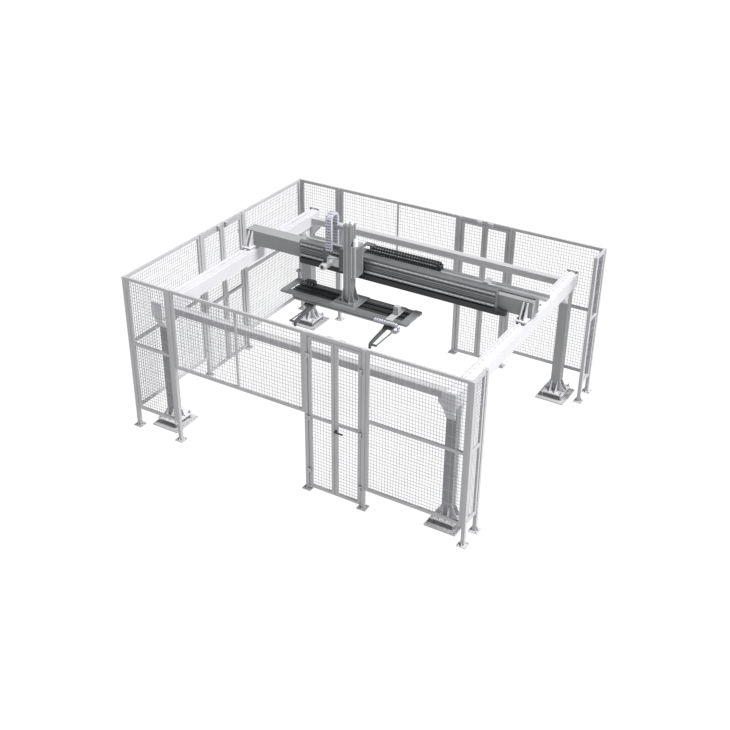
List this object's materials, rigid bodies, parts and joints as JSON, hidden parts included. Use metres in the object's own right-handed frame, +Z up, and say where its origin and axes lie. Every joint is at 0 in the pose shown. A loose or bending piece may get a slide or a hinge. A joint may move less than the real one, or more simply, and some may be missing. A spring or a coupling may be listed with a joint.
{
  "type": "gantry robot cell",
  "caption": "Overhead Cartesian gantry robot with a lifting mast and a two-jaw gripper, inside a wire-mesh guard fence with double doors.",
  "frame": {"origin": "centre of the cell's footprint, on the floor", "axes": "+Z up, +X to the right along the long wall, +Y towards the back; the front wall faces -Y"},
  "size_m": [5.38, 4.44, 3.01],
  "materials": {
    "fence_paint": "satin powder coat",
    "frame_paint": "satin paint",
    "bridge_paint": "satin paint",
    "dark_steel": "satin paint",
    "bright_steel": "ground",
    "aluminium": "anodised satin",
    "zinc_sheet": "galvanised",
    "black_plastic": "moulded matte",
    "grey_plastic": "moulded matte",
    "motor_grey": "smooth paint",
    "cover_white": "smooth paint"
  },
  "bodies": {
    "cell": {"fence_posts": "fence_paint", "post_feet": "fence_paint", "panels_narrow": "fence_paint", "panels_wide": "fence_paint", "panels_end": "fence_paint", "panels_left": "fence_paint", "panels_right": "fence_paint", "door_headers": "fence_paint", "door_hinges": "bright_steel", "column_front_left": "frame_paint", "column_front_right": "frame_paint", "column_back_left": "frame_paint", "column_back_right": "frame_paint", "column_bases": "frame_paint", "floor_plates": "dark_steel", "levelling_screws": "bright_steel", "haunch_brackets": "frame_paint", "runway_left": "frame_paint", "runway_right": "frame_paint", "runway_rails": "bright_steel", "runway_racks": "bright_steel", "cross_beam_front": "frame_paint", "cross_beam_back": "frame_paint"},
    "bridge": {"bridge_beam": "bridge_paint", "end_truck_left": "bridge_paint", "end_truck_right": "bridge_paint", "axis_profile": "aluminium", "axis_rails": "bright_steel", "belt_cover": "black_plastic", "cable_tray": "zinc_sheet", "y_drive_motor": "motor_grey", "x_chain_lower": "black_plastic"},
    "line_shaft": {"line_shaft": "bright_steel"},
    "carriage": {"carriage_plate": "bridge_paint", "x_drive_motor": "motor_grey", "z_drive_cover": "cover_white", "z_drive_motor": "cover_white", "x_chain_upper": "black_plastic", "z_chain_leg": "grey_plastic"},
    "x_chain_bend": {"x_chain_bend": "black_plastic"},
    "z_chain_arch": {"z_chain_arch": "grey_plastic"},
    "mast": {"mast_profile": "aluminium", "mast_foot": "aluminium", "gripper_plate": "aluminium", "gripper_bar_front": "aluminium", "gripper_bar_back": "aluminium", "gripper_ends": "aluminium", "gripper_motor": "motor_grey"},
    "jaw_left": {"jaw_left": "dark_steel"},
    "jaw_right": {"jaw_right": "dark_steel"},
    "gripper_chain": {"gripper_chain": "grey_plastic"},
    "front_door_left": {"front_door_left": "fence_paint"},
    "front_door_right": {"front_door_right": "fence_paint"},
    "back_door_left": {"back_door_left": "fence_paint"},
    "back_door_right": {"back_door_right": "fence_paint"},
    "side_door_front": {"side_door_front": "fence_paint"},
    "side_door_back": {"side_door_back": "fence_paint"},
    "front_door_handle": {"front_door_handle": "black_plastic"},
    "back_door_handle": {"back_door_handle": "black_plastic"},
    "side_door_handle": {"side_door_handle": "black_plastic"}
  },
  "joints": [
    {"name": "bridge_travel", "type": "slide", "parent": "cell", "child": "bridge", "axis": [0, 1, 0], "range_m": [-1.35, 1.15]},
    {"name": "carriage_travel", "type": "slide", "parent": "bridge", "child": "carriage", "axis": [1, 0, 0], "range_m": [-0.65, 1.2], "deforming": ["x_chain_upper", "x_chain_lower"]},
    {"name": "mast_lift", "type": "slide", "parent": "carriage", "child": "mast", "axis": [0, 0, 1], "range_m": [-0.45, 0.08], "deforming": ["z_chain_leg"]},
    {"name": "jaw_right_travel", "type": "slide", "parent": "mast", "child": "jaw_right", "axis": [1, 0, 0], "range_m": [-0.5, 0], "deforming": ["gripper_chain"]},
    {"name": "jaw_left_travel", "type": "slide", "parent": "mast", "child": "jaw_left", "axis": [1, 0, 0], "range_m": [0, 0.5]},
    {"name": "x_chain_roll", "type": "slide", "parent": "carriage", "child": "x_chain_bend", "axis": [1, 0, 0], "range_m": [-0.62, 0.34]},
    {"name": "z_chain_roll", "type": "slide", "parent": "carriage", "child": "z_chain_arch", "axis": [0, 0, 1], "range_m": [-0.24, 0.05]},
    {"name": "gripper_chain_roll", "type": "slide", "parent": "jaw_right", "child": "gripper_chain", "axis": [1, 0, 0], "range_m": [-0.01, 0.26]},
    {"name": "line_shaft_turn", "type": "hinge", "parent": "bridge", "child": "line_shaft", "pos_m": [0, 0.672, 2.0545], "axis": [1, 0, 0], "range_deg": [-2250, 2650]},
    {"name": "front_door_left_swing", "type": "hinge", "parent": "cell", "child": "front_door_left", "pos_m": [0.343, -2.193, 0], "axis": [0, 0, 1], "range_deg": [-100, 0]},
    {"name": "front_door_right_swing", "type": "hinge", "parent": "cell", "child": "front_door_right", "pos_m": [1.137, -2.193, 0], "axis": [0, 0, 1], "range_deg": [0, 100]},
    {"name": "back_door_left_swing", "type": "hinge", "parent": "cell", "child": "back_door_left", "pos_m": [0.343, 2.193, 0], "axis": [0, 0, 1], "range_deg": [0, 100]},
    {"name": "back_door_right_swing", "type": "hinge", "parent": "cell", "child": "back_door_right", "pos_m": [1.137, 2.193, 0], "axis": [0, 0, 1], "range_deg": [-100, 0]},
    {"name": "side_door_front_swing", "type": "hinge", "parent": "cell", "child": "side_door_front", "pos_m": [-2.663, -0.477, 0], "axis": [0, 0, 1], "range_deg": [0, 100]},
    {"name": "side_door_back_swing", "type": "hinge", "parent": "cell", "child": "side_door_back", "pos_m": [-2.663, 0.5, 0], "axis": [0, 0, 1], "range_deg": [-100, 0]},
    {"name": "front_handle_turn", "type": "hinge", "parent": "front_door_right", "child": "front_door_handle", "pos_m": [0.767, -2.155, 1.08], "axis": [0, 1, 0], "range_deg": [0, 45], "stiffness_Nm_per_rad": 1.5, "springref_deg": -17.19},
    {"name": "back_handle_turn", "type": "hinge", "parent": "back_door_right", "child": "back_door_handle", "pos_m": [0.767, 2.155, 1.08], "axis": [0, 1, 0], "range_deg": [0, 45], "stiffness_Nm_per_rad": 1.5, "springref_deg": -17.19},
    {"name": "side_handle_turn", "type": "hinge", "parent": "side_door_back", "child": "side_door_handle", "pos_m": [-2.625, 0.0385, 1.08], "axis": [1, 0, 0], "range_deg": [-45, 0], "stiffness_Nm_per_rad": 1.5, "springref_deg": 17.19}
  ],
  "couplings": [
    {"joint": "jaw_left_travel", "follows": "jaw_right_travel", "ratio": -1},
    {"joint": "gripper_chain_roll", "follows": "jaw_right_travel", "ratio": -0.5},
    {"joint": "x_chain_roll", "follows": "carriage_travel", "ratio": -0.5},
    {"joint": "z_chain_roll", "follows": "mast_lift", "ratio": 0.5},
    {"joint": "line_shaft_turn", "follows": "bridge_travel", "rad_per_m": -33.333}
  ]
}
